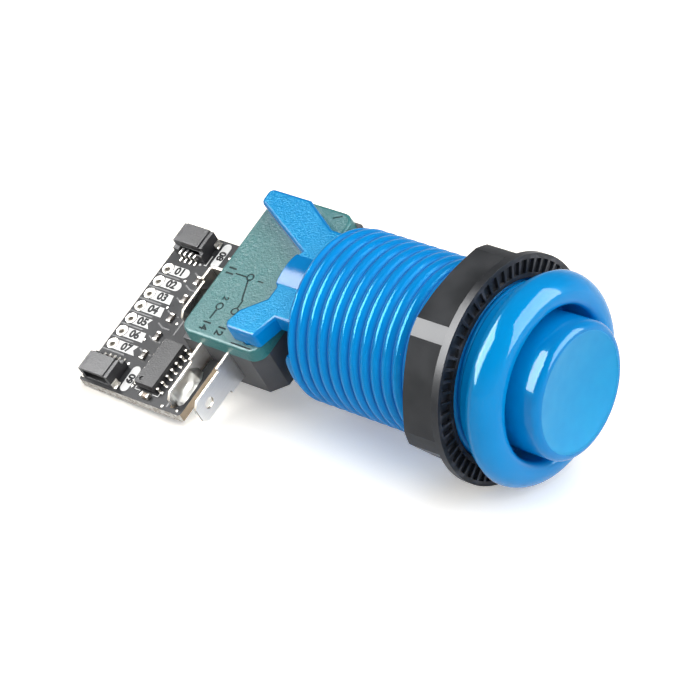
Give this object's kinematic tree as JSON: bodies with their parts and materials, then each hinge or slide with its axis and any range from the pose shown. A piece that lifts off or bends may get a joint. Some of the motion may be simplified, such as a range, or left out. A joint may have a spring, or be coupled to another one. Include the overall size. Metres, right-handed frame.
{
  "type": "arcade push button",
  "caption": "Panel push button with a dished cap in a threaded barrel, a hexagon nut, and a snap-action microswitch with a small circuit board on its terminals.",
  "frame": {"origin": "centre of the bezel's flat seat, where it meets the panel's front face", "axes": "+Z along the press axis towards the player, +Y out of the switch's green cover, -X towards the switch's spade terminals"},
  "size_m": [0.0422, 0.0346, 0.0797],
  "materials": {
    "blue_shell": "glossy",
    "blue_cap": "glossy",
    "spring_wire": "satin",
    "black_nut": "satin",
    "black_base": "matte",
    "green_cover": "fine grain",
    "blade_alloy": "satin",
    "contact_metal": "satin",
    "plated_terminal": "satin",
    "board_laminate": "satin",
    "socket_plastic": "matte",
    "tinned_contact": "satin",
    "chip_plastic": "matte",
    "tan_ceramic": "satin",
    "solder": "satin"
  },
  "bodies": {
    "base": {"housing": "blue_shell", "return_spring": "spring_wire", "switch_base": "black_base", "switch_cover": "green_cover", "closed_contact": "contact_metal", "open_contact": "contact_metal", "common_terminal": "plated_terminal", "normally_open_terminal": "plated_terminal", "normally_closed_terminal": "plated_terminal", "circuit_board": "board_laminate", "socket_shell_upper": "socket_plastic", "socket_shell_lower": "socket_plastic", "socket_contacts_upper": "tinned_contact", "socket_contacts_lower": "tinned_contact", "socket_anchors": "tinned_contact", "controller_body": "chip_plastic", "controller_leads": "tinned_contact", "resistor_bodies": "chip_plastic", "resistor_caps": "tinned_contact", "capacitor_body": "tan_ceramic", "capacitor_caps": "tinned_contact", "solder_joints": "solder"},
    "plunger": {"plunger": "blue_cap"},
    "nut": {"mounting_nut": "black_nut"},
    "switch_button": {"switch_button": "black_base"},
    "snap_blade": {"snap_blade": "blade_alloy", "moving_contact": "contact_metal"}
  },
  "joints": [
    {"name": "button_press", "type": "slide", "parent": "base", "child": "plunger", "axis": [0, 0, -1], "range_m": [0, 0.0024], "stiffness_N_per_m": 250, "springref_m": -0.004, "deforming": ["return_spring"]},
    {"name": "switch_press", "type": "slide", "parent": "base", "child": "switch_button", "axis": [0, 0, -1], "range_m": [0, 0.0016]},
    {"name": "blade_swing", "type": "hinge", "parent": "base", "child": "snap_blade", "pos_m": [0.007, 0, -0.04861], "axis": [0, -1, 0], "range_deg": [0, 3.8]},
    {"name": "nut_turn", "type": "hinge", "parent": "base", "child": "nut", "pos_m": [0, 0, -0.007], "axis": [0, 0, 1], "range_deg": [-30, 30]}
  ],
  "couplings": [
    {"joint": "switch_press", "follows": "button_press", "ratio": 0.6666},
    {"joint": "blade_swing", "follows": "button_press", "rad_per_m": 27.6}
  ]
}
